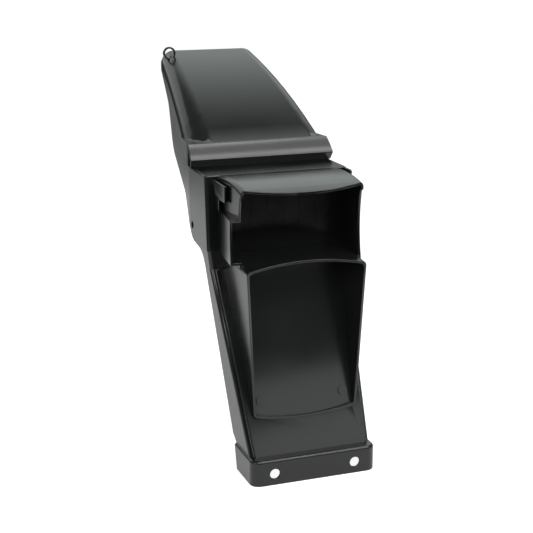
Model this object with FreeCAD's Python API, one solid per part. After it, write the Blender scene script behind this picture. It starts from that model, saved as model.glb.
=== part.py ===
"""Rear mudguard of a motorcycle: one thin-walled plastic moulding.

X is to the right as seen from behind, Y is forward, Z is up, in millimetres.
The origin lies midway between the two tail holes, on the rear face of the cuff.
"""
import FreeCAD, Part
import math
import os

V = FreeCAD.Vector

# Wall of the moulding
wall = 2.6

# Tail cuff: the band round the low end, with two holes through its rear face
tail_hole_spacing = 87.0
tail_hole_diameter = 10.5
tail_hole_height = 12.0
cuff_overhang = 2.0
cuff_height = 27.0
cuff_depth_top = 57.0
cuff_depth_low = 50.0
cuff_corner_radius = 10.0
cuff_lip_radius = 3.0

# Lower panel: leans forward as it rises from the cuff to the sill
panel_foot_inset = 13.0
panel_head_inset = 2.3
panel_set_back = 14.0
panel_rise = 174.0
panel_run = 90.5
body_width = 157.0
body_edge_radius = 3.5

# Raised field of the lower panel
field_margin = 4.5
field_height = 1.6
field_edge_radius = 1.2

# Sill, pillars and ledge above the lower panel
sill_rise = 19.0
sill_step = 1.6
pillar_rise = 77.0
pillar_run = 6.5
ledge_depth = 47.4

# Ridge bar across the full width, whose flat top runs forward as a shoulder
ridge_step = 7.8
ridge_overhang = 1.8
ridge_face_rise = 15.9
ridge_face_run = 10.6
ridge_lip_radius = 1.6
ridge_left_proud = 1.0
ridge_right_flare = 3.6
ridge_root = 4.0

# Arch over the wheel
arch_run = 179.0
arch_rise = 82.2
arch_bulge = 7.3
arch_drop_below_ridge = 2.0
arch_end_inset = 21.2
arch_left_root_radius = 28.0
arch_right_root_radius = 19.0
arch_end_corner_radius = 15.0
arch_end_skirt = 22.4
arch_section_count = 9

# Light box: open to the rear, under a hood that bows out and droops, on the recess's arched roof
box_inset = 13.2
box_height = 77.5
box_back_set_back = 16.5
box_corner_radius = 5.0
box_top_reach = 72.6
box_waist_reach = 66.0
box_low_reach = 70.0
hood_bow = 13.0
hood_crown = 5.0
hood_droop = 5.0

# Outset of the box's lower left wall
outset_rise = 45.0
outset_root = 1.2
outset_reach = 11.2

# Flutes on the back wall of the box
flute_count = 7
flute_side_margin = 12.8
flute_width = 6.0
flute_height = 0.6
flute_foot_margin = 13.0
flute_head_margin = 8.0

# Number plate recess: side walls and an arched roof round a leaning inner panel
recess_top_inset = 1.3
recess_foot_inset = 8.0
recess_side_rise = 153.0
recess_roof_drop = 6.5
recess_roof_arch = 8.0
recess_foot_sag = 6.0
recess_foot_radius = 5.0
recess_head_radius = 4.0
recess_mouth_y = 25.3
recess_mouth_lean = 2.7
recess_foot_sink = 1.0

# Locating bosses on the inner panel of the recess
boss_diameter = 10.0
boss_height = 1.2
boss_top_below_roof = 22.0
boss_mid_inset = 8.0
boss_mid_height = 76.0
boss_low_inset = 11.0
boss_low_height = 14.0

# Lamp clips beside the light box
clip_thickness = 2.6
clip_gap = 1.6
clip_drop = 4.6
clip_reach = 36.0
clip_height = 17.0
clip_heel_reach = 16.0
clip_heel_height = 12.0
right_clip_inset = 1.6
right_clip_drop = 0.4
right_clip_reach = 18.0
right_clip_height = 5.2

# Side holes and the cable eye
side_hole_diameter = 7.5
side_hole_y = 159.0
side_hole_z = 224.4
eye_outer_diameter = 14.6
eye_inner_diameter = 10.6
eye_thickness = 4.0
eye_back_from_end = 16.0
eye_lean_deg = 22.0

# Forward edge of the side walls, from the arch's end down to the cuff, with corner radii
edge_knee = (298.0, 334.0, 30.0)
edge_hip = (270.0, 286.0, 40.0)
edge_flank = (193.0, 252.0, 25.0)
edge_bay_top = (160.0, 209.0, 18.0)
edge_bay_low = (128.0, 203.0, 14.0)
edge_shin = (118.0, 172.0, 60.0)
edge_foot = (66.0, 22.0, 4.0)

# Overrun of cutting shapes past the faces they open
overrun = 20.0

# Places worked out from the sizes above
cuff_low_z = -tail_hole_height
cuff_top_z = cuff_low_z + cuff_height
panel_head_z = cuff_top_z + panel_rise
sill_top_z = panel_head_z + sill_rise
ledge_z = sill_top_z + pillar_rise
panel_foot_y = panel_set_back
panel_head_y = panel_foot_y + panel_run
pillar_foot_y = panel_head_y + sill_step
ledge_rear_y = pillar_foot_y + pillar_run
ledge_front_y = ledge_rear_y + ledge_depth
ridge_lip_y = ledge_front_y - ridge_overhang
ridge_lip_z = ledge_z + ridge_step
ridge_top_y = ridge_lip_y + ridge_face_run
ridge_top_z = ridge_lip_z + ridge_face_rise
arch_start_z = ridge_top_z - arch_drop_below_ridge
arch_end_y = ridge_top_y + arch_run
arch_end_z = arch_start_z + arch_rise
body_half = body_width / 2
arch_end_half = body_half - arch_end_inset
panel_foot_half = body_half - panel_foot_inset
panel_head_half = body_half - panel_head_inset
cuff_half = panel_foot_half + cuff_overhang
box_half = body_half - box_inset
recess_top_half = box_half - recess_top_inset
recess_foot_half = recess_top_half - recess_foot_inset
boss_mid_half = recess_foot_half - boss_mid_inset
boss_low_half = recess_foot_half - boss_low_inset
flute_pitch = 2 * (box_half - flute_side_margin) / (flute_count - 1)
box_low_z = ledge_z - box_height
box_back_y = panel_head_y - box_back_set_back
box_mouth_y = ledge_rear_y - box_top_reach
hood_lip_y = box_mouth_y - hood_bow
outset_top_z = box_low_z + outset_rise
recess_top_z = box_low_z + wall - recess_roof_drop
recess_foot_z = recess_top_z - recess_side_rise
recess_crown_z = recess_top_z + recess_roof_arch
box_foot_z = recess_top_z - 2 * recess_roof_arch
far_x = body_width
far_y = arch_end_y + 2 * overrun
far_z = arch_end_z + 2 * overrun


def panel_y(z):
    """Y of the lower panel's outer face at a height."""
    return panel_foot_y + panel_run * (z - cuff_top_z) / panel_rise


def inner_panel_y(z):
    """Y of the recess's inner panel at a height: flush with the box's back wall at the roof."""
    foot_y = panel_y(recess_foot_z) + recess_foot_sink
    return foot_y + (box_back_y - foot_y) * (z - recess_foot_z) / recess_side_rise


def panel_half(z):
    """Half width of the body at a height of the lower panel."""
    share = (z - cuff_top_z) / panel_rise
    return panel_foot_half + (panel_head_half - panel_foot_half) * share


def line(a, b):
    """Straight edge between two points."""
    return Part.LineSegment(a, b).toShape()


def arc(a, b, c):
    """Circular edge through three points."""
    return Part.Arc(a, b, c).toShape()


def prism(edges, along):
    """Solid swept from a closed chain of edges."""
    return Part.Face(Part.Wire(edges)).extrude(along)


def polygon_prism(points, along):
    """Solid swept from a polygon."""
    return Part.Face(Part.makePolygon(points + points[:1])).extrude(along)


def side_prism(points, x_low, x_high):
    """Solid swept across X from a polygon of (y, z) points."""
    corners = [V(x_low, y, z) for y, z in points]
    return polygon_prism(corners, V(x_high - x_low, 0, 0))


def front_prism(points, y_low, y_high):
    """Solid swept along Y from a polygon of (x, z) points."""
    corners = [V(x, y_low, z) for x, z in points]
    return polygon_prism(corners, V(0, y_high - y_low, 0))


def block(x_low, x_high, y_low, y_high, z_low, z_high):
    """Box between two corners."""
    return Part.makeBox(x_high - x_low, y_high - y_low, z_high - z_low, V(x_low, y_low, z_low))


def fuse_all(shapes):
    """One shape from several that meet."""
    return shapes[0].multiFuse(shapes[1:])


def edges_near(shape, points, reach):
    """Edges of a shape whose middles lie within reach of any of the points."""
    chosen = []
    for edge in shape.Edges:
        middle = edge.CenterOfMass
        if any(middle.distanceToPoint(point) < reach for point in points):
            chosen.append(edge)
    return chosen


def inset_chain(points, inset):
    """Open (y, z) chain moved to its right hand side by a distance, with its corners mitred."""
    lines = []
    for (y0, z0), (y1, z1) in zip(points, points[1:]):
        length = math.hypot(y1 - y0, z1 - z0)
        shift_y = inset * (z1 - z0) / length
        shift_z = -inset * (y1 - y0) / length
        lines.append((y0 + shift_y, z0 + shift_z, y1 + shift_y, z1 + shift_z))
    moved = [lines[0][:2]]
    for (ay, az, by, bz), (cy, cz, dy, dz) in zip(lines, lines[1:]):
        cross = (by - ay) * (dz - cz) - (bz - az) * (dy - cy)
        share = ((cy - ay) * (dz - cz) - (cz - az) * (dy - cy)) / cross
        moved.append((ay + share * (by - ay), az + share * (bz - az)))
    moved.append(lines[-1][2:])
    return moved


def rounded_chain(corners, x):
    """Edges along (y, z, radius) corners in the plane of one X, with tangent arcs at the corners."""
    points = [V(x, y, z) for y, z, radius in corners]
    edges = []
    start = points[0]
    for before, corner, after, (y, z, radius) in zip(points, points[1:], points[2:], corners[1:]):
        back = (before - corner).normalize()
        ahead = (after - corner).normalize()
        half_angle = back.getAngle(ahead) / 2
        reach = radius / math.tan(half_angle)
        middle = (back + ahead).normalize()
        centre = corner + middle * (radius / math.sin(half_angle))
        arc_start = corner + back * reach
        arc_end = corner + ahead * reach
        edges.append(line(start, arc_start))
        edges.append(arc(arc_start, centre - middle * radius, arc_end))
        start = arc_end
    edges.append(line(start, points[-1]))
    return edges


def rear_chain():
    """Side view of the rear skin, from inside the cuff up to the flat top of the ridge."""
    mid_cuff_z = (cuff_low_z + cuff_top_z) / 2
    return [
        (panel_y(mid_cuff_z), mid_cuff_z),
        (panel_head_y, panel_head_z),
        (panel_head_y, sill_top_z),
        (pillar_foot_y, sill_top_z),
        (ledge_rear_y, ledge_z),
        (ridge_top_y, ledge_z),
        (ridge_top_y, ridge_top_z),
        (far_y, ridge_top_z),
    ]


def side_half(y):
    """Half width of the upper body: constant up to the ridge, then closing in to the arch's end."""
    share = max(0.0, (y - ridge_top_y) / arch_run)
    return body_half + (arch_end_half - body_half) * share


def plan_prism(inset):
    """Upright solid between the left and right side walls."""
    stations = [-overrun, ridge_top_y, far_y]
    right = [V(side_half(y) - inset, y, cuff_low_z - overrun) for y in stations]
    left = [V(-point.x, point.y, point.z) for point in reversed(right)]
    return polygon_prism(right + left, V(0, 0, far_z - cuff_low_z + overrun))


def body(inset):
    """Lower panel, sill, pillars, ledge, ridge and shoulder as a filled block."""
    chain = inset_chain(rear_chain(), inset)
    side = side_prism(chain + [(far_y, chain[0][1])], -far_x, far_x)
    low_half = panel_half(cuff_low_z) - inset
    head_half = panel_head_half - inset
    high_half = body_half - inset
    outline = [
        (-low_half, cuff_low_z), (-head_half, panel_head_z), (-high_half, sill_top_z), (-high_half, far_z),
        (high_half, far_z), (high_half, sill_top_z), (head_half, panel_head_z), (low_half, cuff_low_z),
    ]
    front = front_prism(outline, -overrun, far_y + overrun)
    return side.common(front).common(plan_prism(inset))


def ridge_prism(inset):
    """Profile of the ridge bar swept far past both of its ends."""
    low_z = ledge_z - (2 * wall if inset else 0)
    chain = inset_chain(
        [(ledge_front_y, low_z), (ridge_lip_y, ridge_lip_z), (ridge_top_y, ridge_top_z),
         (ridge_top_y + ridge_root, ridge_top_z)], inset)
    return side_prism(chain + [(ridge_top_y + ridge_root, low_z)], -far_x, far_x)


def ridge_bar(inset):
    """Ridge bar as a filled block, proud of the left wall and flared past the right wall."""
    left = -body_half - ridge_left_proud
    if inset:
        left = inset - body_half
    right_top = body_half - inset
    right_low = right_top + ridge_right_flare
    low_z = ledge_z - 2 * wall
    outline = [
        (left, low_z), (left, ridge_top_z), (right_top, ridge_top_z),
        (right_low, ridge_lip_z), (right_low, low_z),
    ]
    return ridge_prism(inset).common(front_prism(outline, ridge_lip_y - overrun, ridge_top_y + overrun))


def ridge_end_slot():
    """Open left end of the hollow ridge bar, above the ledge."""
    reach = block(-far_x, 2 * wall - body_half, -far_y, ridge_top_y, ledge_z, far_z)
    return ridge_prism(wall).common(reach)


def rounded_body():
    """The filled body with the rear corners of its panel, sill and pillars rounded."""
    solid = body(0)
    low = solid.common(block(-far_x, far_x, -overrun, far_y, cuff_low_z - overrun, sill_top_z))
    high = solid.common(block(-far_x, far_x, -overrun, far_y, sill_top_z, far_z))
    panel_mid_z = (rear_chain()[0][1] + panel_head_z) / 2
    sill_mid = V((panel_head_half + body_half) / 2, panel_head_y, (panel_head_z + sill_top_z) / 2)
    low_seats = [V(panel_half(panel_mid_z), panel_y(panel_mid_z), panel_mid_z), sill_mid]
    low_seats += [V(-seat.x, seat.y, seat.z) for seat in low_seats]
    low = low.makeFillet(body_edge_radius, edges_near(low, low_seats, 2 * wall))
    pillar_mid = V(body_half, (pillar_foot_y + ledge_rear_y) / 2, (sill_top_z + ledge_z) / 2)
    high_seats = [pillar_mid, V(-pillar_mid.x, pillar_mid.y, pillar_mid.z)]
    high = high.makeFillet(body_edge_radius, edges_near(high, high_seats, 2 * wall))
    ledge_edge = edges_near(high, [V(0, ledge_rear_y, ledge_z)], wall)
    return low.fuse(high.makeFillet(ridge_lip_radius, ledge_edge))


def rounded_ridge_bar():
    """The filled ridge bar with its lip and its upper edge rounded."""
    solid = ridge_bar(0)
    middle_x = (ridge_right_flare - ridge_left_proud) / 2
    rims = [V(middle_x, ridge_lip_y, ridge_lip_z), V(middle_x, ridge_top_y, ridge_top_z)]
    return solid.makeFillet(ridge_lip_radius, edges_near(solid, rims, wall))


def cuff(inset):
    """Band round the tail as a filled block, rounded at its rear corners."""
    half = cuff_half - inset
    top_z = cuff_top_z - inset
    low_z = cuff_low_z - (overrun if inset else 0)
    solid = block(-half, half, inset, cuff_depth_top + overrun, low_z, top_z)
    mid_z = (low_z + top_z) / 2
    corners = [V(-half, inset, mid_z), V(half, inset, mid_z)]
    solid = solid.makeFillet(cuff_corner_radius - inset, edges_near(solid, corners, wall))
    if inset:
        return solid
    rim = [edge for edge in solid.Edges
           if edge.BoundBox.ZMin > top_z - wall and edge.BoundBox.YMin < cuff_depth_top]
    return solid.makeFillet(cuff_lip_radius, rim)


def crown_circle():
    """Centre and radius of the arch's crown in the side view."""
    chord = math.hypot(arch_run, arch_rise)
    radius = (chord ** 2 / 4 + arch_bulge ** 2) / (2 * arch_bulge)
    below = radius - arch_bulge
    mid_y = (ridge_top_y + arch_end_y) / 2
    mid_z = (arch_start_z + arch_end_z) / 2
    return mid_y + below * arch_rise / chord, mid_z - below * arch_run / chord, radius


def arch_section(y, inset):
    """Section of the arch across the wheel, with its two upper corners rounded."""
    centre_y, centre_z, radius = crown_circle()
    top_z = centre_z + math.sqrt((radius - inset) ** 2 - (y - centre_y) ** 2)
    share = (y - ridge_top_y) / arch_run
    half = side_half(y) - inset
    left_r = arch_left_root_radius + (arch_end_corner_radius - arch_left_root_radius) * share - inset
    right_r = arch_right_root_radius + (arch_end_corner_radius - arch_right_root_radius) * share - inset
    bend = math.sqrt(0.5)
    left_low, right_low = V(-half, y, sill_top_z), V(half, y, sill_top_z)
    left_spring, right_spring = V(-half, y, top_z - left_r), V(half, y, top_z - right_r)
    left_top, right_top = V(left_r - half, y, top_z), V(half - right_r, y, top_z)
    left_mid = V(left_r - half - left_r * bend, y, top_z - left_r + left_r * bend)
    right_mid = V(half - right_r + right_r * bend, y, top_z - right_r + right_r * bend)
    return Part.Wire([
        line(left_low, left_spring), arc(left_spring, left_mid, left_top), line(left_top, right_top),
        arc(right_top, right_mid, right_spring), line(right_spring, right_low), line(right_low, left_low),
    ])


def arch(inset):
    """Arch over the wheel as a filled block above the shoulder, lofted through its sections."""
    rear_y = ridge_top_y + inset
    front_y = arch_end_y + (overrun if inset else 0)
    step = (front_y - rear_y) / (arch_section_count - 1)
    sections = [arch_section(rear_y + step * index, inset) for index in range(arch_section_count)]
    above = block(-far_x, far_x, -far_y, 2 * far_y, ridge_top_z - inset, far_z)
    return Part.makeLoft(sections, True, True).common(above)


def roof_section(y, drop):
    """Section of all that lies below the recess's roof lowered by a distance, out to the body's width."""
    flatter = (box_back_y - y) / (box_back_y - recess_mouth_y)
    rise = recess_roof_arch * flatter * (body_half / recess_top_half) ** 2
    crown_z = recess_crown_z - drop
    left, right = V(-body_half, y, crown_z - rise), V(body_half, y, crown_z - rise)
    low_left, low_right = V(-body_half, y, cuff_low_z - overrun), V(body_half, y, cuff_low_z - overrun)
    top = arc(left, V(0, y, crown_z), right)
    return Part.Wire([top, line(right, low_right), line(low_right, low_left), line(low_left, left)])


def below_roof(drop):
    """All below the roof, which is arched at the recess's mouth and flat at the box's back wall."""
    rear = roof_section(recess_mouth_y - overrun, drop)
    front = roof_section(panel_head_y + 2 * overrun, drop)
    return Part.makeLoft([rear, front], True, True)


def above_roof(drop):
    """All above the roof, lowered by a distance."""
    rear_y = recess_mouth_y - overrun
    front_y = panel_head_y + 2 * overrun
    return block(-far_x, far_x, rear_y, front_y, box_foot_z, far_z).cut(below_roof(drop))


def hood_arc(x, inset):
    """Side view of the hood's upper face at one X, from its root to the tip of its lip."""
    root = V(x, ledge_rear_y, ledge_z - inset)
    tip = V(x, hood_lip_y, ledge_z - hood_droop - inset)
    middle = (root + tip) * 0.5 + V(0, 0, hood_crown)
    return arc(root, middle, tip)


def box_block(inset):
    """Light box as a filled block from the body out to the hood's tip, standing on the arched roof."""
    half = box_half - inset
    low_z = box_foot_z
    upper = hood_arc(-half, inset)
    root, tip = upper.Vertexes[0].Point, upper.Vertexes[-1].Point
    low_tip = V(-half, tip.y, low_z)
    low_root = V(-half, root.y, low_z)
    edges = [upper, line(tip, low_tip), line(low_tip, low_root), line(low_root, root)]
    solid = prism(edges, V(2 * half, 0, 0))
    rims = [edge for edge in solid.Edges
            if edge.BoundBox.XLength < wall and edge.BoundBox.ZMin > ledge_z - 2 * hood_droop - wall
            and edge.BoundBox.YLength > box_top_reach]
    return solid.makeFillet(box_corner_radius - inset, rims).common(above_roof(wall - inset))


def outset_block(inset):
    """Part of the box's lower left side that stands out past the upper wall."""
    root_x = -box_half - outset_root
    tip_x = -box_half - outset_reach
    inner_x = -box_half + wall + box_corner_radius
    low_z = box_low_z + inset
    high_z = outset_top_z - inset
    plan = [
        (root_x + inset, ledge_rear_y), (tip_x + inset, hood_lip_y),
        (inner_x, hood_lip_y), (inner_x, ledge_rear_y),
    ]
    corners = [V(x, y, low_z) for x, y in plan]
    return polygon_prism(corners, V(0, 0, high_z - low_z))


def mouth_trim():
    """Everything behind the hollow front edge of the light box's walls."""
    top = V(-far_x, box_mouth_y, far_z)
    high = V(-far_x, box_mouth_y, ledge_z)
    waist = V(-far_x, ledge_rear_y - box_waist_reach, (ledge_z + box_low_z) / 2)
    low = V(-far_x, ledge_rear_y - box_low_reach, box_low_z - wall)
    foot = V(-far_x, low.y, box_foot_z)
    back_foot = V(-far_x, hood_lip_y - overrun, box_foot_z)
    back_top = V(-far_x, hood_lip_y - overrun, far_z)
    edges = [line(top, high), arc(high, waist, low), line(low, foot), line(foot, back_foot),
             line(back_foot, back_top), line(back_top, top)]
    return prism(edges, V(2 * far_x, 0, 0))


def hood_lip():
    """Thin hood that bows rearward between the box's front corners."""
    plate = box_block(0).cut(box_block(wall))
    above = block(-far_x, far_x, -far_y, far_y, ledge_z - hood_droop - 2 * wall, far_z)
    plate = plate.common(above)
    left, right = V(-box_half, box_mouth_y, 0), V(box_half, box_mouth_y, 0)
    root_left, root_right = V(-box_half, ledge_rear_y, 0), V(box_half, ledge_rear_y, 0)
    bow = arc(left, V(0, hood_lip_y, 0), right)
    edges = [bow, line(right, root_right), line(root_right, root_left), line(root_left, left)]
    return plate.common(prism(edges, V(0, 0, far_z)))


def light_box():
    """Walls and back of the light box, with its hood and its arched floor."""
    outer = box_block(0).fuse(outset_block(0))
    hollow = box_block(wall).fuse(outset_block(wall))
    behind = block(-far_x, far_x, box_back_y, box_back_y + wall, -far_z, far_z)
    shell = outer.cut(hollow.cut(behind))
    return shell.cut(mouth_trim()).fuse(hood_lip())


def recess_half(z):
    """Half width of the plate recess at a height."""
    return recess_foot_half + recess_foot_inset * (z - recess_foot_z) / recess_side_rise


def recess_prism(inset, y_low, y_high):
    """Tapered sides and sagging foot of the plate recess, filled up past its roof."""
    foot_z = recess_foot_z + inset
    top_z = recess_crown_z + recess_roof_arch
    foot_half = recess_half(foot_z) - inset
    top_half = recess_half(top_z) - inset
    left_foot, right_foot = V(-foot_half, y_low, foot_z), V(foot_half, y_low, foot_z)
    left_top, right_top = V(-top_half, y_low, top_z), V(top_half, y_low, top_z)
    foot = arc(left_foot, V(0, y_low, foot_z - recess_foot_sag), right_foot)
    sides = [line(right_foot, right_top), line(right_top, left_top), line(left_top, left_foot)]
    solid = prism([foot] + sides, V(0, y_high - y_low, 0))
    mid_y = (y_low + y_high) / 2
    corners = [V(side * foot_half, mid_y, foot_z) for side in (-1, 1)]
    return solid.makeFillet(recess_foot_radius, edges_near(solid, corners, wall))


def recess_block(inset, y_low, y_high):
    """Plate recess filled from one Y to another under its roof, with the roof's side edges rounded."""
    solid = recess_prism(inset, y_low, y_high).common(below_roof(inset))
    rims = [edge for edge in solid.Edges
            if edge.BoundBox.YLength > overrun and edge.BoundBox.ZMax > recess_top_z - 2 * wall]
    return solid.makeFillet(recess_head_radius, rims)


def inner_panel_slab(shift_low, shift_high):
    """Leaning slab along the inner panel, between two distances forward of its face."""
    low_z = cuff_low_z
    high_z = box_low_z + wall
    low_y = inner_panel_y(low_z)
    high_y = inner_panel_y(high_z)
    points = [
        (low_y + shift_low, low_z), (high_y + shift_low, high_z),
        (high_y + shift_high, high_z), (low_y + shift_high, low_z),
    ]
    return side_prism(points, -far_x, far_x)


def plate_recess():
    """Walls and inner panel of the plate recess, standing out of the lower panel."""
    outer = recess_block(0, recess_mouth_y - wall, panel_head_y + wall)
    hollow = recess_block(wall, recess_mouth_y - 2 * wall, panel_head_y + overrun)
    mouth_low_y = recess_mouth_y + recess_mouth_lean
    mouth = side_prism(
        [(-3 * overrun, recess_top_z), (recess_mouth_y, recess_top_z), (mouth_low_y, recess_foot_z),
         (mouth_low_y, cuff_low_z), (-3 * overrun, cuff_low_z)], -far_x, far_x)
    roof_mouth = block(-far_x, far_x, -3 * overrun, recess_mouth_y, recess_top_z, far_z)
    return outer.cut(hollow.cut(inner_panel_slab(0, wall))).cut(mouth).cut(roof_mouth)


def wheel_side():
    """Closed side outline of the mudguard, bounded by the forward edge of its side walls."""
    end_low = (arch_end_y, arch_end_z - arch_end_skirt, 0)
    heel = (cuff_depth_top, cuff_top_z, 0)
    corners = [end_low, edge_knee, edge_hip, edge_flank, edge_bay_top, edge_bay_low,
               edge_shin, edge_foot, heel]
    forward = rounded_chain(corners, -far_x)
    last = forward[-1].Vertexes[-1].Point
    toe = V(-far_x, cuff_depth_low, cuff_low_z)
    low_rear = V(-far_x, -overrun, cuff_low_z)
    high_rear = V(-far_x, -overrun, far_z)
    high_end = V(-far_x, arch_end_y, far_z)
    first = forward[0].Vertexes[0].Point
    rest = [line(last, toe), line(toe, low_rear), line(low_rear, high_rear),
            line(high_rear, high_end), line(high_end, first)]
    return prism(forward + rest, V(2 * far_x, 0, 0))


def raised_field():
    """Slightly raised field of the lower panel, inside its two edges, with a rounded border."""
    low_z = cuff_top_z - wall
    high_z = panel_head_z
    points = [(panel_y(low_z) - field_height, low_z), (panel_y(high_z) - field_height, high_z),
              (panel_y(high_z) + wall / 2, high_z), (panel_y(low_z) + wall / 2, low_z)]
    slab = side_prism(points, -far_x, far_x)
    low_half = panel_half(low_z) - field_margin
    high_half = panel_half(high_z) - field_margin
    outline = [(-low_half, low_z), (-high_half, high_z), (high_half, high_z), (low_half, low_z)]
    solid = slab.common(front_prism(outline, -overrun, far_y))
    mid_z = (low_z + high_z) / 2
    mid_half = panel_half(mid_z) - field_margin
    sides = [V(side * mid_half, panel_y(mid_z) - field_height, mid_z) for side in (-1, 1)]
    head = V(0, panel_y(high_z) - field_height, high_z)
    return solid.makeFillet(field_edge_radius, edges_near(solid, sides + [head], field_height / 2))


def bosses():
    """Round bosses that a number plate rests on, square to the inner panel."""
    places = [(0, recess_top_z + recess_roof_arch - boss_top_below_roof)]
    for side in (-1, 1):
        places.append((side * boss_mid_half, recess_foot_z + boss_mid_height))
        places.append((side * boss_low_half, recess_foot_z + boss_low_height))
    slope = (inner_panel_y(recess_top_z) - inner_panel_y(recess_foot_z)) / recess_side_rise
    out = V(0, -1, slope).normalize()
    discs = []
    for x, z in places:
        seat = V(x, inner_panel_y(z), z) - out * (wall / 2)
        discs.append(Part.makeCylinder(boss_diameter / 2, boss_height + wall / 2, seat, out))
    return discs


def flutes():
    """Shallow round-ended ribs down the back wall of the light box."""
    low_z = box_low_z + wall + flute_foot_margin
    high_z = ledge_z - wall - flute_head_margin
    radius = flute_width / 2
    depth = V(0, -(flute_height + wall / 2), 0)
    seat_y = box_back_y + wall / 2
    ribs = []
    for index in range(flute_count):
        x = (index - (flute_count - 1) / 2) * flute_pitch
        left_low, left_high = V(x - radius, seat_y, low_z), V(x - radius, seat_y, high_z)
        right_low, right_high = V(x + radius, seat_y, low_z), V(x + radius, seat_y, high_z)
        top = arc(left_high, V(x, seat_y, high_z + radius), right_high)
        foot = arc(right_low, V(x, seat_y, low_z - radius), left_low)
        ribs.append(prism([line(left_low, left_high), top, line(right_high, right_low), foot], depth))
    return ribs


def left_clip():
    """Thin hooked plate that stands rearward from the left pillar, beside the light box."""
    top_z = ledge_z - clip_drop
    step_z = top_z - clip_height
    low_z = step_z - clip_heel_height
    root_y = ledge_rear_y + wall / 2
    tip_y = ledge_rear_y - clip_reach
    heel_y = ledge_rear_y - clip_heel_reach
    points = [
        (root_y, top_z), (tip_y, top_z), (tip_y, step_z),
        (heel_y, step_z), (heel_y, low_z), (root_y - pillar_run, low_z),
    ]
    x = -box_half - clip_gap
    return side_prism(points, x - clip_thickness, x)


def right_clip():
    """Short round-ended bar that stands rearward from the right pillar, just under the ledge's top."""
    x = body_half - right_clip_inset
    radius = right_clip_height / 2
    top_z = ledge_z - right_clip_drop
    low_z = top_z - right_clip_height
    root_y = ledge_rear_y + wall / 2
    tip_y = ledge_rear_y - right_clip_reach
    top_root, top_end = V(x, root_y, top_z), V(x, tip_y + radius, top_z)
    low_root, low_end = V(x, root_y, low_z), V(x, tip_y + radius, low_z)
    nose = arc(top_end, V(x, tip_y, top_z - radius), low_end)
    edges = [line(top_root, top_end), nose, line(low_end, low_root), line(low_root, top_root)]
    return prism(edges, V(-clip_thickness, 0, 0))


def cable_eye():
    """Ring that stands on the rounded left shoulder of the arch, near its end."""
    centre_y, centre_z, radius = crown_circle()
    y = arch_end_y - eye_back_from_end
    crown_z = centre_z + math.sqrt(radius ** 2 - (y - centre_y) ** 2)
    lean = math.radians(eye_lean_deg)
    stand = arch_end_corner_radius + eye_outer_diameter / 2 - wall
    x = arch_end_corner_radius - side_half(y) - stand * math.sin(lean)
    z = crown_z - arch_end_corner_radius + stand * math.cos(lean)
    seat = V(x, y - eye_thickness / 2, z)
    ring = Part.makeCylinder(eye_outer_diameter / 2, eye_thickness, seat, V(0, 1, 0))
    return ring, Part.makeCylinder(eye_inner_diameter / 2, eye_thickness, seat, V(0, 1, 0))


def holes():
    """Two tail holes along Y and one hole through both side walls along X."""
    cuts = []
    for side in (-1, 1):
        seat = V(side * tail_hole_spacing / 2, -overrun, 0)
        cuts.append(Part.makeCylinder(tail_hole_diameter / 2, 2 * overrun, seat, V(0, 1, 0)))
    seat = V(-far_x, side_hole_y, side_hole_z)
    cuts.append(Part.makeCylinder(side_hole_diameter / 2, 2 * far_x, seat, V(1, 0, 0)))
    return cuts


def inside():
    """Hollow of the channel over the wheel, with the pockets behind the box and the recess."""
    pocket_half = box_half - wall
    pocket = block(-pocket_half, pocket_half, box_back_y + wall, ledge_rear_y + 2 * wall,
                   box_foot_z, ledge_z - wall).common(above_roof(0))
    behind_plate = recess_block(wall, recess_mouth_y - 2 * wall, panel_head_y + overrun)
    ahead = inner_panel_slab(wall, far_y)
    channel = [body(wall), ridge_bar(wall), arch(wall), cuff(wall)]
    return fuse_all(channel + [pocket, behind_plate.common(ahead)])


def recess_hollow():
    """Space in front of the inner panel, open to the rear."""
    hollow = recess_block(wall, recess_mouth_y - 2 * wall, panel_head_y + overrun)
    return hollow.common(inner_panel_slab(-far_y, 0))


def box_hollow():
    """Space in front of the light box's back wall, open to the rear."""
    hollow = box_block(wall).fuse(outset_block(wall))
    return hollow.common(block(-far_x, far_x, -far_y, box_back_y, -far_z, far_z))


def mudguard():
    """The whole moulding."""
    skin = fuse_all([rounded_body(), rounded_ridge_bar(), arch(0), cuff(0), raised_field()])
    outer = fuse_all([skin, light_box(), plate_recess()])
    ring, ring_hole = cable_eye()
    solid = outer.cut(inside()).cut(recess_hollow()).cut(box_hollow())
    solid = fuse_all([solid, ring, left_clip(), right_clip()] + bosses() + flutes())
    solid = solid.common(wheel_side())
    for cut in holes() + [ring_hole, ridge_end_slot()]:
        solid = solid.cut(cut)
    return solid.removeSplitter()


if __name__ == "__main__":
    os.makedirs("parts", exist_ok=True)
    shape = mudguard()
    print("solids", len(shape.Solids), "valid", shape.isValid(), "volume", round(shape.Volume))
    shape.exportStep("parts/mudguard.step")
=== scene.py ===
"""Rear mudguard of a motorcycle, moulded in black polypropylene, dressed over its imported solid."""
import math

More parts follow.
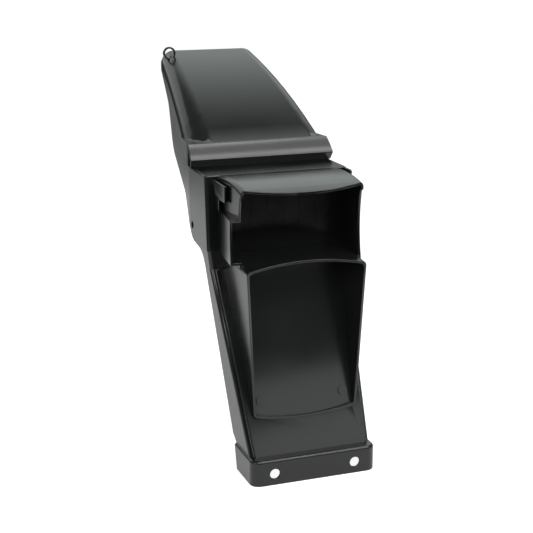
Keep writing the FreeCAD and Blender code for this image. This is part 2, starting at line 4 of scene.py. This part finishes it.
import bmesh
import bpy
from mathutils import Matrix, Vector


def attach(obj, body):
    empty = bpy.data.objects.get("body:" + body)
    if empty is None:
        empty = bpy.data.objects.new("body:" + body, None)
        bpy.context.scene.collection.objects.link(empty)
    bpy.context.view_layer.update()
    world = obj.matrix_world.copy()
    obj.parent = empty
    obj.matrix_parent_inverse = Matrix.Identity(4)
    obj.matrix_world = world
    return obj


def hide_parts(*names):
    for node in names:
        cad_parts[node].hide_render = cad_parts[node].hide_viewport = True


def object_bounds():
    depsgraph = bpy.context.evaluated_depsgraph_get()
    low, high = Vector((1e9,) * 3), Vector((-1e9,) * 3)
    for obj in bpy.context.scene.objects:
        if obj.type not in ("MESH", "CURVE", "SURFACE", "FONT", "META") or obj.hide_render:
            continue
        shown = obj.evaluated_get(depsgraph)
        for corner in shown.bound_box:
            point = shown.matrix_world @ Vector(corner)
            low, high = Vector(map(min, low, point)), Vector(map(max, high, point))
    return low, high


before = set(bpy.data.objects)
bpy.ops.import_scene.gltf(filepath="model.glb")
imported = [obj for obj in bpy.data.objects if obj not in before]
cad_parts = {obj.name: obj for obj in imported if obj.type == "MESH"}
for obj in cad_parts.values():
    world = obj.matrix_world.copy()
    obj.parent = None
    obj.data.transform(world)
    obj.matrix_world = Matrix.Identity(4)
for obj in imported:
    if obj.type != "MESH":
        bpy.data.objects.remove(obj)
CAD_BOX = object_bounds()
NODE = "mudguard"
MM = 0.001

# Way that the ridge bar's rear face looks, and how far its faces may turn from it
RIDGE_NORMAL = Vector((0, -0.832, 0.555))
RIDGE_SPREAD = math.radians(2)

# How near a corner lies to the ridge bar's rear face to count as part of it
TOUCH = 0.01 * MM

# Right side wall's outer face, its thickness, and the ledge's height at the ridge bar's right end
WALL_FACE = 78.5 * MM
WALL = 2.6 * MM
LEDGE = 285.0 * MM

# How far out of the wall, and at most above the ledge, the corners of that end's foot lie
FOOT_REACH = 0.2 * WALL

# Skin of the moulding: layers in the haze and in the grain, the part of the haze that changes the gloss,
# how much smoother and rougher it then is, how strongly the grain shows, and the plastic's refraction
HAZE_LAYERS = 3.0
GRAIN_LAYERS = 2.0
HAZE_PART = (0.3, 0.7)
GLOSS_CHANGE = (-0.03, 0.04)
GRAIN_STRENGTH = 0.6
POLYPROPYLENE_IOR = 1.49

WHITE = "#FFFFFF"

# Soft lamps around the mudguard: name, place and size in metres, and how bright each looks
LAMPS = (
    ("key", (0.35, -0.42, 1.34), (0.90, 0.56), 2.2),
    ("lip_strip", (0.25, -0.80, 1.12), (1.60, 0.26), 6.5),
    ("top_strip", (0.20, -0.20, 1.60), (1.60, 0.26), 6.5),
    ("panel_fill", (0.80, -2.50, 1.85), (3.00, 0.80), 0.12),
    ("front_card", (0.09, -0.12, 0.105), (0.22, 0.09), 1.3),
    ("side", (-1.15, -0.62, 0.74), (1.20, 0.36), 3.4),
    ("left_wash", (-0.62, 1.42, 0.97), (0.90, 0.92), 1.0),
)

bl_info = {
    "name": "Motorcycle rear mudguard",
    "version": (1, 0, 0),
    "blender": (4, 5, 0),
    "location": "View3D > Sidebar > Mudguard",
    "description": "Dresses the packed mudguard as a satin black moulding and sets it in a pale studio",
    "category": "Object",
}


class MouldingSettings(bpy.types.PropertyGroup):
    """Finish of the moulding."""

    weld: bpy.props.FloatProperty(
        name="Weld", description="Distance within which the solid's corners are merged",
        default=0.005 * MM, unit="LENGTH", precision=6)
    flat_angle: bpy.props.FloatProperty(
        name="Flat angle", description="Triangles that meet flatter than this become one face",
        default=math.radians(0.05), subtype="ANGLE")
    edge_angle: bpy.props.FloatProperty(
        name="Edge angle", description="Outer edges sharper than this are rounded",
        default=math.radians(40), subtype="ANGLE")
    edge_radius: bpy.props.FloatProperty(
        name="Edge radius", description="Rounding of the moulding's outer edges",
        default=0.7 * MM, unit="LENGTH", precision=5)
    edge_steps: bpy.props.IntProperty(
        name="Edge steps", description="Faces across each rounded edge", default=3, min=1)
    edge_room: bpy.props.FloatProperty(
        name="Edge room", description="Least width of the faces beside a rounded edge, in edge radii",
        default=2.4)
    ridge_crown: bpy.props.FloatProperty(
        name="Ridge crown", description="How far the ridge bar's rear face swells out in its middle",
        default=0.8 * MM, unit="LENGTH", precision=5)
    ridge_rows: bpy.props.IntProperty(
        name="Ridge rows", description="Faces across the swell of the ridge bar", default=16, min=2)
    tuck_share: bpy.props.FloatProperty(
        name="Tuck share",
        description="How far the foot of the ridge bar's right end still stands out of the wall",
        default=0.33, min=0, max=1, subtype="FACTOR")
    plug_middle: bpy.props.FloatVectorProperty(
        name="Plug middle",
        description="Middle of the plate that closes the wall below the ridge bar's right end",
        default=(WALL_FACE - 0.5 * WALL, 167.5 * MM, LEDGE - WALL),
        size=3, subtype="TRANSLATION", unit="LENGTH")
    plug_size: bpy.props.FloatVectorProperty(
        name="Plug size",
        description="Plate's thickness, which is less than the wall's, and its length and height",
        default=(0.75 * WALL, 13.5 * MM, 8.2 * MM), size=3, unit="LENGTH")
    smooth_angle: bpy.props.FloatProperty(
        name="Smooth angle", description="Faces that meet flatter than this are shaded as one",
        default=math.radians(35), subtype="ANGLE")
    body_hex: bpy.props.StringProperty(
        name="Body colour", description="Black of the pigmented polypropylene", default="#0D0E0E")
    haze_hex: bpy.props.StringProperty(
        name="Haze colour", description="Slightly greyer black where the skin has a faint haze",
        default="#151716")
    roughness: bpy.props.FloatProperty(
        name="Roughness", description="Satin of the mould's fine texture",
        default=0.20, min=0, max=1, subtype="FACTOR")
    # A real mould's grain is finer; this one is as coarse as it needs to be to show
    grain: bpy.props.FloatProperty(
        name="Grain", description="Size of the mould's grain", default=0.9 * MM, unit="LENGTH", precision=5)
    grain_depth: bpy.props.FloatProperty(
        name="Grain depth", description="Depth of the mould's grain",
        default=0.008 * MM, unit="LENGTH", precision=6)
    haze_patch: bpy.props.FloatProperty(
        name="Haze patch", description="Size of the cloudy patches in the skin",
        default=45 * MM, unit="LENGTH")


class StageSettings(bpy.types.PropertyGroup):
    """Floor, light and camera."""

    floor_hex: bpy.props.StringProperty(name="Floor colour", description="White floor", default=WHITE)
    pool_middle: bpy.props.FloatVectorProperty(
        name="Pool middle", description="Middle of the pool of light that reflections see on the floor",
        default=(0, 0.17, 0), size=3, subtype="TRANSLATION", unit="LENGTH")
    pool_reach: bpy.props.FloatVectorProperty(
        name="Pool reach", description="Distances at which the pool starts to fade and has faded",
        default=(1.15, 1.5), size=2, unit="LENGTH")
    pool_glow: bpy.props.FloatVectorProperty(
        name="Pool glow", description="How bright the pool is within and beyond", default=(1.2, 0.25), size=2)
    floor_low: bpy.props.FloatVectorProperty(
        name="Floor low", description="Left rear corner of the floor",
        default=(-2.5, -0.6), size=2, subtype="TRANSLATION", unit="LENGTH")
    floor_high: bpy.props.FloatVectorProperty(
        name="Floor high", description="Right front corner of the floor",
        default=(1.5, 3.5), size=2, subtype="TRANSLATION", unit="LENGTH")
    floor_glow: bpy.props.FloatProperty(
        name="Floor glow", description="Strength of the floor's own white to the camera",
        default=1.75, min=0)
    floor_share: bpy.props.FloatProperty(
        name="Floor share",
        description="Share of the floor's look that glows; the matt rest takes the shadow",
        default=0.5, min=0, max=1, subtype="FACTOR")
    sky_hex: bpy.props.StringProperty(
        name="Sky colour", description="Slightly cool white of the surroundings", default="#F5FFFB")
    sky_way: bpy.props.FloatVectorProperty(
        name="Sky way", description="Where the surroundings are brightest",
        default=(0.31, 0.785, 0.535), subtype="DIRECTION")
    sky_rim: bpy.props.FloatProperty(
        name="Sky rim", description="Cosine of the angle at which the bright patch ends", default=0.79)
    sky_veil: bpy.props.FloatVectorProperty(
        name="Sky veil", description="Heights between which the bright patch fades in above the horizon",
        default=(0.12, 0.50), size=2)
    sky_peak: bpy.props.FloatProperty(
        name="Sky peak", description="Strength that the brightest patch adds", default=1.3, min=0)
    sky_base: bpy.props.FloatProperty(
        name="Sky base", description="Strength of the surroundings above the horizon", default=0.18, min=0)
    sky_under: bpy.props.FloatProperty(
        name="Sky under", description="Strength of the surroundings below the horizon", default=0.04, min=0)
    horizon: bpy.props.FloatProperty(
        name="Horizon", description="Height above and below the horizon within which the strength changes",
        default=0.05, min=0)
    lamp_level: bpy.props.FloatProperty(
        name="Lamp level", description="Scales all the soft lamps", default=1.0, min=0, subtype="FACTOR")
    camera_place: bpy.props.FloatVectorProperty(
        name="Camera place", description="Where the photograph was taken from",
        default=(-0.4559, -1.1043, 0.5359), subtype="TRANSLATION", unit="LENGTH")
    camera_turn: bpy.props.FloatVectorProperty(
        name="Camera turn", description="Pitch, roll and azimuth of the camera",
        default=(math.radians(74.8), 0, math.radians(-20.05)), subtype="EULER", unit="ROTATION")
    lens: bpy.props.FloatProperty(name="Lens", description="Focal length in millimetres", default=86.12)
    sensor: bpy.props.FloatProperty(
        name="Sensor", description="Width of the camera's sensor in millimetres", default=36)


def linear(code):
    """Linear colour with alpha from an sRGB hex code."""
    values = [int(code[start:start + 2], 16) / 255 for start in (1, 3, 5)]
    return [v / 12.92 if v <= 0.04045 else ((v + 0.055) / 1.055) ** 2.4 for v in values] + [1.0]


def add(tree, kind, inputs=None, **settings):
    """One node with its settings; an input is a value, or another node's output to link from."""
    node = tree.nodes.new(kind)
    for name, value in settings.items():
        setattr(node, name, value)
    for name, value in (inputs or {}).items():
        if isinstance(value, bpy.types.NodeSocket):
            tree.links.new(value, node.inputs[name])
        else:
            node.inputs[name].default_value = value
    return node


def new_tree(name):
    """A material and its emptied node tree."""
    material = bpy.data.materials.new(name)
    material.use_nodes = True
    material.node_tree.nodes.clear()
    return material, material.node_tree


def moulded_polypropylene(settings):
    """Satin black polypropylene: a soft sheen at low angles, a fine mould grain and a faint cloudy haze."""
    material, tree = new_tree("moulded_polypropylene_satin")
    place = add(tree, "ShaderNodeTexCoord").outputs["Object"]
    cloud = add(tree, "ShaderNodeTexNoise", {
        "Vector": place, "Scale": 1 / settings.haze_patch, "Detail": HAZE_LAYERS})
    grain = add(tree, "ShaderNodeTexNoise", {
        "Vector": place, "Scale": 1 / settings.grain, "Detail": GRAIN_LAYERS})
    colour = add(tree, "ShaderNodeMix", {
        "Factor": cloud.outputs["Fac"], "A": linear(settings.body_hex), "B": linear(settings.haze_hex)},
        data_type="RGBA")
    sheen = add(tree, "ShaderNodeMapRange", {
        "Value": cloud.outputs["Fac"], "From Min": HAZE_PART[0], "From Max": HAZE_PART[1],
        "To Min": settings.roughness + GLOSS_CHANGE[0], "To Max": settings.roughness + GLOSS_CHANGE[1]})
    bump = add(tree, "ShaderNodeBump", {
        "Strength": GRAIN_STRENGTH, "Distance": settings.grain_depth, "Height": grain.outputs["Fac"]})
    shader = add(tree, "ShaderNodeBsdfPrincipled", {
        "Base Color": colour.outputs[2], "Roughness": sheen.outputs["Result"],
        "Normal": bump.outputs["Normal"], "IOR": POLYPROPYLENE_IOR, "Metallic": 0.0})
    add(tree, "ShaderNodeOutputMaterial", {"Surface": shader.outputs["BSDF"]})
    return material


def pale_floor(settings):
    """White studio floor: plain white to the camera, a pool of light in reflections, with its shadow kept."""
    material, tree = new_tree("white_studio_floor")
    matt = add(tree, "ShaderNodeBsdfDiffuse", {"Color": linear(settings.floor_hex)})
    place = add(tree, "ShaderNodeTexCoord").outputs["Object"]
    away = add(tree, "ShaderNodeVectorMath", {0: place, 1: settings.pool_middle}, operation="DISTANCE")
    pool = add(tree, "ShaderNodeMapRange", {
        "Value": away.outputs["Value"],
        "From Min": settings.pool_reach[0], "From Max": settings.pool_reach[1],
        "To Min": settings.pool_glow[0], "To Max": settings.pool_glow[1]}, interpolation_type="SMOOTHSTEP")
    path = add(tree, "ShaderNodeLightPath")
    level = add(tree, "ShaderNodeMix", {
        "Factor": path.outputs["Is Camera Ray"], "A": pool.outputs["Result"], "B": settings.floor_glow},
        data_type="FLOAT")
    glow = add(tree, "ShaderNodeEmission", {
        "Color": linear(settings.floor_hex), "Strength": level.outputs[0]})
    seen = add(tree, "ShaderNodeMath", {
        0: path.outputs["Is Camera Ray"], 1: path.outputs["Is Glossy Ray"]}, operation="MAXIMUM")
    seen = add(tree, "ShaderNodeMath", {
        0: seen.outputs[0], 1: path.outputs["Is Transmission Ray"]}, operation="MAXIMUM")
    share = add(tree, "ShaderNodeMath", {0: seen.outputs[0], 1: settings.floor_share}, operation="MULTIPLY")
    both = add(tree, "ShaderNodeMixShader", {0: share.outputs[0], 1: matt.outputs[0], 2: glow.outputs[0]})
    add(tree, "ShaderNodeOutputMaterial", {"Surface": both.outputs[0]})
    return material


def studio_world(settings):
    """Surroundings with one broad bright patch ahead of the mudguard; plain white to the camera."""
    world = bpy.data.worlds.new("studio")
    world.use_nodes = True
    tree = world.node_tree
    tree.nodes.clear()
    way = add(tree, "ShaderNodeTexCoord").outputs["Generated"]
    towards = add(tree, "ShaderNodeVectorMath", {0: way, 1: settings.sky_way}, operation="DOT_PRODUCT")
    patch = add(tree, "ShaderNodeMapRange", {
        "Value": towards.outputs["Value"], "From Min": settings.sky_rim, "From Max": 1.0,
        "To Min": 0.0, "To Max": settings.sky_peak}, interpolation_type="SMOOTHSTEP")
    height = add(tree, "ShaderNodeSeparateXYZ", {"Vector": way})
    dome = add(tree, "ShaderNodeMapRange", {
        "Value": height.outputs["Z"], "From Min": -settings.horizon, "From Max": settings.horizon,
        "To Min": settings.sky_under, "To Max": settings.sky_base}, interpolation_type="SMOOTHSTEP")
    veil = add(tree, "ShaderNodeMapRange", {
        "Value": height.outputs["Z"], "From Min": settings.sky_veil[0], "From Max": settings.sky_veil[1]},
        interpolation_type="SMOOTHSTEP")
    patch = add(tree, "ShaderNodeMath", {
        0: patch.outputs["Result"], 1: veil.outputs["Result"]}, operation="MULTIPLY")
    level = add(tree, "ShaderNodeMath", {0: patch.outputs[0], 1: dome.outputs["Result"]}, operation="ADD")
    path = add(tree, "ShaderNodeLightPath")
    level = add(tree, "ShaderNodeMix", {
        "Factor": path.outputs["Is Camera Ray"], "A": level.outputs[0], "B": 1.0}, data_type="FLOAT")
    tint = add(tree, "ShaderNodeMix", {
        "Factor": path.outputs["Is Camera Ray"], "A": linear(settings.sky_hex), "B": linear(WHITE)},
        data_type="RGBA")
    glow = add(tree, "ShaderNodeBackground", {"Color": tint.outputs["Result"], "Strength": level.outputs[0]})
    add(tree, "ShaderNodeOutputWorld", {"Surface": glow.outputs[0]})
    return world


def softbox(name, place, size, glow, aim):
    """One oblong area lamp turned towards a point, as bright to look at as its glow says."""
    data = bpy.data.lights.new(name, "AREA")
    data.shape = "RECTANGLE"
    data.size, data.size_y = size
    data.energy = glow * math.pi * size[0] * size[1]
    lamp = bpy.data.objects.new(name, data)
    lamp.location = place
    lamp.visible_camera = False
    lamp.rotation_euler = (Vector(aim) - Vector(place)).to_track_quat("-Z", "Y").to_euler()
    bpy.context.scene.collection.objects.link(lamp)


def pick(mesh, kind, wanted):
    """Selects, in edit mode, the corners, edges or faces of a mesh that pass a test, and nothing else."""
    bpy.ops.mesh.select_mode(type=kind)
    bpy.ops.mesh.select_all(action="DESELECT")
    shape = bmesh.from_edit_mesh(mesh)
    for part in {"VERT": shape.verts, "EDGE": shape.edges, "FACE": shape.faces}[kind]:
        part.select_set(wanted(part))
    shape.select_flush_mode()
    bmesh.update_edit_mesh(mesh)


def breadth(face, edge):
    """How far a face reaches from one of its edges."""
    start = edge.verts[0].co
    along = (edge.verts[1].co - start).normalized()
    return max((corner.co - start).cross(along).length for corner in face.verts)


def select_outer_edges(mesh, angle, room):
    """Selects the sharp outer edges that have room beside them for a rounding."""
    def wanted(edge):
        sharp = edge.calc_face_angle_signed(0) > angle
        return sharp and min(breadth(face, edge) for face in edge.link_faces) > room

    pick(mesh, "EDGE", wanted)


def crown_ridge(piece, crown, rows):
    """Swells the flat rear face of the ridge bar a little, so that light runs softly down it."""
    shape = bmesh.from_edit_mesh(piece.data)
    broad = [face for face in shape.faces if face.normal.angle(RIDGE_NORMAL) < RIDGE_SPREAD]
    ridge = max(broad, key=lambda face: face.calc_area())
    out = ridge.normal.copy()
    up = Vector((1, 0, 0)).cross(out)
    up = up if up.z > 0 else -up
    heights = [corner.co.dot(up) for corner in ridge.verts]
    low, high = min(heights), max(heights)
    level = ridge.verts[0].co.dot(out)

    def on_ridge(corner):
        return abs(corner.co.dot(out) - level) < TOUCH

    def ridge_strip(face):
        return face.normal.angle(out) < RIDGE_SPREAD and on_ridge(face.verts[0])

    for row in range(1, rows):
        seat = up * (low + (high - low) * row / rows) + out * level
        pick(piece.data, "FACE", ridge_strip)
        bpy.ops.mesh.bisect(plane_co=seat, plane_no=up)
    shape = bmesh.from_edit_mesh(piece.data)
    for corner in shape.verts:
        share = (corner.co.dot(up) - low) / (high - low)
        if on_ridge(corner) and 0 < share < 1:
            # The swell is a parabola, with its whole height in the middle
            corner.co += out * crown * 4 * share * (1 - share)
    bmesh.update_edit_mesh(piece.data)


def tuck_ridge_end(piece, share):
    """Draws the foot of the ridge bar's right end in towards the side wall, as the photograph shows it."""
    pick(piece.data, "VERT",
         lambda corner: corner.co.x > WALL_FACE + FOOT_REACH and corner.co.z < LEDGE + FOOT_REACH)
    bpy.ops.transform.resize(value=(share, 1, 1), center_override=(WALL_FACE, 0, 0))


def plug_wall(piece, middle, size):
    """Closes the gap in the right wall below the ridge bar's end with a plate inside the wall's thickness."""
    bpy.ops.object.select_all(action="DESELECT")
    bpy.ops.mesh.primitive_cube_add(size=1, location=middle)
    plate = bpy.context.view_layer.objects.active
    bpy.ops.transform.resize(value=size)
    bpy.ops.object.transform_apply(location=True, rotation=True, scale=True)
    bpy.ops.object.select_all(action="DESELECT")
    piece.select_set(True)
    bpy.context.view_layer.objects.active = piece
    bpy.ops.object.modifier_add(type="BOOLEAN")
    join = piece.modifiers[-1]
    join.operation, join.solver, join.object = "UNION", "EXACT", plate
    bpy.ops.object.modifier_apply(modifier=join.name)
    bpy.data.objects.remove(plate)


class MUDGUARD_OT_moulding(bpy.types.Operator):
    """Makes the moulding from a merged copy of the solid, with rounded edges, in satin black"""

    bl_idname = "mudguard.moulding"
    bl_label = "Moulding"

    def execute(self, context):
        settings = context.scene.mudguard_moulding
        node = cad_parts[NODE]
        bpy.ops.object.select_all(action="DESELECT")
        node.select_set(True)
        context.view_layer.objects.active = node
        bpy.ops.object.duplicate()
        piece = context.view_layer.objects.active
        if piece is node:
            raise RuntimeError("the solid was not copied")
        piece.name = "moulding"
        piece.data.name = "moulding"
        bpy.ops.object.mode_set(mode="EDIT")
        bpy.ops.mesh.select_all(action="SELECT")
        bpy.ops.mesh.remove_doubles(threshold=settings.weld)
        bpy.ops.mesh.dissolve_limited(angle_limit=settings.flat_angle)
        tuck_ridge_end(piece, settings.tuck_share)
        bpy.ops.object.mode_set(mode="OBJECT")
        plug_wall(piece, settings.plug_middle, settings.plug_size)
        bpy.ops.object.mode_set(mode="EDIT")
        crown_ridge(piece, settings.ridge_crown, settings.ridge_rows)
        select_outer_edges(piece.data, settings.edge_angle, settings.edge_room * settings.edge_radius)
        bpy.ops.mesh.bevel(
            offset=settings.edge_radius, segments=settings.edge_steps, clamp_overlap=False, loop_slide=False)
        bpy.ops.object.mode_set(mode="OBJECT")
        bpy.ops.object.shade_smooth_by_angle(angle=settings.smooth_angle)
        bpy.ops.object.modifier_add(type="WEIGHTED_NORMAL")
        piece.modifiers[-1].keep_sharp = True
        bpy.ops.object.modifier_apply(modifier=piece.modifiers[-1].name)
        piece.data.materials.clear()
        piece.data.materials.append(moulded_polypropylene(settings))
        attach(piece, "root")
        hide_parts(NODE)
        return {"FINISHED"}


class MUDGUARD_OT_stage(bpy.types.Operator):
    """Sets the floor, the soft light and the camera"""

    bl_idname = "mudguard.stage"
    bl_label = "Stage"

    def execute(self, context):
        settings = context.scene.mudguard_stage
        scene = context.scene
        scene.view_settings.view_transform = "Standard"
        low, high = CAD_BOX
        middle = (low + high) / 2
        bpy.ops.object.select_all(action="DESELECT")
        rear, front = Vector(settings.floor_low), Vector(settings.floor_high)
        seat = ((rear + front) / 2).to_3d() + Vector((0, 0, low.z))
        bpy.ops.mesh.primitive_plane_add(size=1, location=seat)
        floor = context.view_layer.objects.active
        floor.name = "floor"
        floor.scale = (front - rear).to_3d() + Vector((0, 0, 1))
        bpy.ops.object.transform_apply(location=True, rotation=True, scale=True)
        floor.data.materials.append(pale_floor(settings))
        scene.world = studio_world(settings)
        for name, place, size, glow in LAMPS:
            softbox(name, place, size, glow * settings.lamp_level, middle)
        data = bpy.data.cameras.new("camera")
        data.lens = settings.lens
        data.sensor_width = settings.sensor
        camera = bpy.data.objects.new("camera", data)
        camera.location = settings.camera_place
        camera.rotation_euler = settings.camera_turn
        scene.collection.objects.link(camera)
        scene.camera = camera
        return {"FINISHED"}


class MUDGUARD_PT_sidebar(bpy.types.Panel):
    """Lists the steps that dress the mudguard"""

    bl_label = "Mudguard"
    bl_space_type = "VIEW_3D"
    bl_region_type = "UI"
    bl_category = "Mudguard"

    def draw(self, context):
        for step in STEPS:
            self.layout.operator(step.bl_idname)


STEPS = (MUDGUARD_OT_moulding, MUDGUARD_OT_stage)
CLASSES = (MouldingSettings, StageSettings) + STEPS + (MUDGUARD_PT_sidebar,)


def register():
    """Registers the settings, the steps and the panel."""
    for entry in CLASSES:
        bpy.utils.register_class(entry)
    bpy.types.Scene.mudguard_moulding = bpy.props.PointerProperty(type=MouldingSettings)
    bpy.types.Scene.mudguard_stage = bpy.props.PointerProperty(type=StageSettings)


def unregister():
    """Takes them away again."""
    del bpy.types.Scene.mudguard_stage
    del bpy.types.Scene.mudguard_moulding
    for entry in reversed(CLASSES):
        bpy.utils.unregister_class(entry)


def main():
    """Builds the pieces and the stage in order."""
    register()
    bpy.ops.mudguard.moulding()
    bpy.ops.mudguard.stage()


if __name__ == "__main__":
    main()
